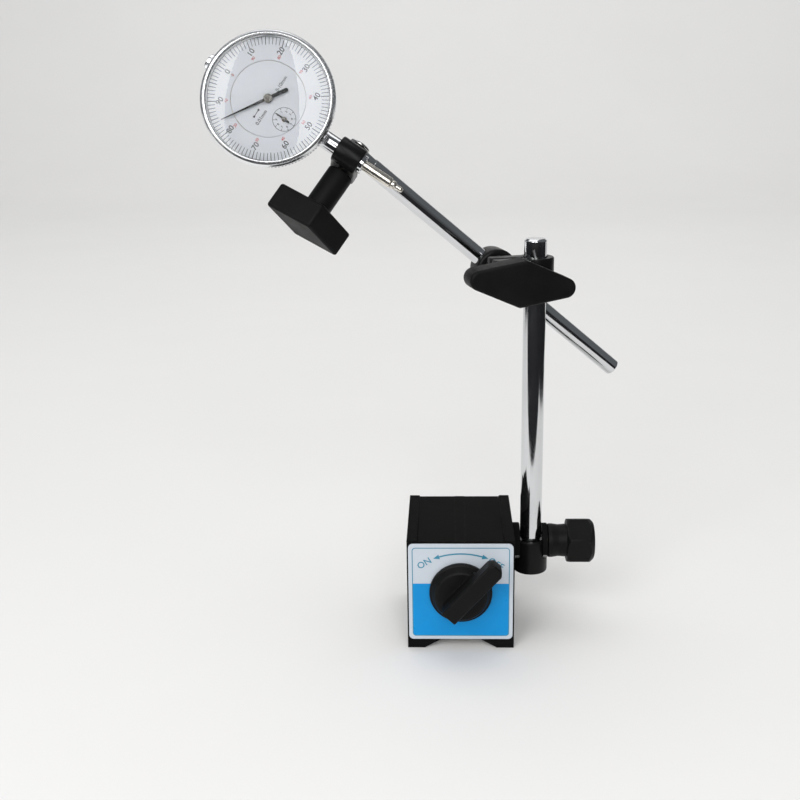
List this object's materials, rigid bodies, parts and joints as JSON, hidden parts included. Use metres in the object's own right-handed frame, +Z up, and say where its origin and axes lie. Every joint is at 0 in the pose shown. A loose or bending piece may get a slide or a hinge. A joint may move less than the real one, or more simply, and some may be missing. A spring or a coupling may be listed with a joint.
{
  "type": "dial indicator on magnetic base",
  "caption": "Dial indicator held by a split clamp on a sliding cross rod and a tilting post, on a switchable magnetic block with a V groove underneath.",
  "frame": {"origin": "middle of the bounding box at the base's lower face", "axes": "+Z up along the post, the base's front plate faces -Y, the dial stands to -X of the post"},
  "size_m": [0.1888, 0.0862, 0.2809],
  "materials": {
    "black_paint": "satin black enamel",
    "black_plastic": "satin moulded",
    "blackened_steel": "blackened",
    "chrome": "polished",
    "satin_chrome": "satin",
    "steel": "ground",
    "brass": "machined",
    "front_plate": "printed white and blue",
    "dial_white": "printed white",
    "hand_black": "matt black",
    "magnet": "ground",
    "crystal": "clear"
  },
  "bodies": {
    "base": {"pole_block_left": "black_paint", "pole_block_right": "black_paint", "brass_strip_upper": "brass", "brass_strip_lower": "brass", "front_plate": "front_plate", "rear_cover": "black_paint", "pivot_stud": "steel", "pivot_boss": "blackened_steel", "pivot_washer": "blackened_steel"},
    "switch": {"magnet_rotor": "magnet", "switch_shaft": "steel", "switch_knob": "black_plastic"},
    "base_knob": {"base_clamp_knob": "black_plastic", "base_knob_insert": "brass"},
    "post": {"post": "chrome", "post_socket": "black_paint"},
    "clamp": {"post_clamp": "black_paint"},
    "eye": {"eye_bolt": "black_paint", "eye_spacer": "blackened_steel"},
    "arm_knob": {"arm_knob": "black_plastic", "arm_knob_insert": "brass"},
    "rod": {"cross_rod": "chrome"},
    "stem_clamp": {"stem_clamp": "black_paint", "dial_clamp_bolt": "blackened_steel"},
    "dial_knob": {"dial_knob": "black_plastic", "dial_knob_insert": "brass"},
    "dial": {"dial_case": "satin_chrome", "back_cover": "satin_chrome", "cover_screw_1": "steel", "cover_screw_2": "steel", "cover_screw_3": "steel", "cover_screw_4": "steel", "stem": "chrome", "upper_bush": "chrome", "guide_fork": "brass", "return_spring": "steel", "movement_plate": "brass", "movement_bridge": "brass", "centre_disc": "dial_white"},
    "bezel": {"bezel": "chrome", "crystal": "crystal", "scale_ring": "dial_white"},
    "plunger": {"plunger": "steel", "guide_pin": "steel", "contact_point": "steel", "plunger_cap": "satin_chrome"},
    "main_hand": {"main_hand": "hand_black", "centre_pinion": "brass"},
    "counter_hand": {"counter_hand": "hand_black", "rack_wheel": "brass"},
    "hairspring": {"hairspring_wheel": "brass"}
  },
  "joints": [
    {"name": "switch_turn", "type": "hinge", "parent": "base", "child": "switch", "pos_m": [0.01607, -0.02707, 0.03], "axis": [0, -1, 0], "range_deg": [0, 90]},
    {"name": "base_knob_turn", "type": "hinge", "parent": "base", "child": "base_knob", "pos_m": [0.04108, 0.00693, 0.041], "axis": [1, 0, 0], "range_deg": [-180, 180]},
    {"name": "post_tilt", "type": "hinge", "parent": "base", "child": "post", "pos_m": [0.05058, 0.00693, 0.041], "axis": [1, 0, 0], "range_deg": [-75, 75]},
    {"name": "clamp_slide", "type": "slide", "parent": "post", "child": "clamp", "axis": [0, 0, 1], "range_m": [-0.08, 0.008]},
    {"name": "eye_turn", "type": "hinge", "parent": "clamp", "child": "eye", "pos_m": [0.03219, 0.02257, 0.17269], "axis": [0.2689, -0.9632, 0], "range_deg": [-50, 80]},
    {"name": "arm_knob_turn", "type": "hinge", "parent": "eye", "child": "arm_knob", "pos_m": [0.03219, 0.02257, 0.17269], "axis": [0.2689, -0.9632, 0], "range_deg": [-180, 180]},
    {"name": "rod_slide", "type": "slide", "parent": "eye", "child": "rod", "axis": [0.7314, 0.2042, -0.6506], "range_m": [-0.06, 0.04]},
    {"name": "dial_swing", "type": "hinge", "parent": "rod", "child": "stem_clamp", "pos_m": [-0.03005, 0.00519, 0.22806], "axis": [-0.5423, -0.4043, -0.7365], "range_deg": [-25, 60]},
    {"name": "dial_knob_turn", "type": "hinge", "parent": "stem_clamp", "child": "dial_knob", "pos_m": [-0.03005, 0.00519, 0.22806], "axis": [-0.5423, -0.4043, -0.7365], "range_deg": [-180, 180]},
    {"name": "dial_roll", "type": "hinge", "parent": "stem_clamp", "child": "dial", "pos_m": [-0.06561, -0.00283, 0.2505], "axis": [0.8279, -0.1075, -0.5505], "continuous": true},
    {"name": "bezel_turn", "type": "hinge", "parent": "dial", "child": "bezel", "pos_m": [-0.06561, -0.00283, 0.2505], "axis": [0.0273, -0.9726, 0.2309], "continuous": true},
    {"name": "plunger_slide", "type": "slide", "parent": "dial", "child": "plunger", "axis": [-0.8279, 0.1075, 0.5505], "range_m": [0, 0.01], "stiffness_N_per_m": 60, "springref_m": -0.008},
    {"name": "main_hand_turn", "type": "hinge", "parent": "dial", "child": "main_hand", "pos_m": [-0.06561, -0.00283, 0.2505], "axis": [0.0273, -0.9726, 0.2309], "range_deg": [-3605, 5]},
    {"name": "counter_hand_turn", "type": "hinge", "parent": "dial", "child": "counter_hand", "pos_m": [-0.0589, -0.00466, 0.24198], "axis": [0.0273, -0.9726, 0.2309], "range_deg": [-2, 362]},
    {"name": "hairspring_turn", "type": "hinge", "parent": "dial", "child": "hairspring", "pos_m": [-0.07046, -0.00268, 0.25171], "axis": [0.0273, -0.9726, 0.2309], "range_deg": [-2, 902]}
  ],
  "couplings": [
    {"joint": "main_hand_turn", "follows": "plunger_slide", "rad_per_m": -6283.2},
    {"joint": "counter_hand_turn", "follows": "plunger_slide", "rad_per_m": 628.32},
    {"joint": "hairspring_turn", "follows": "plunger_slide", "rad_per_m": 1570.8}
  ]
}
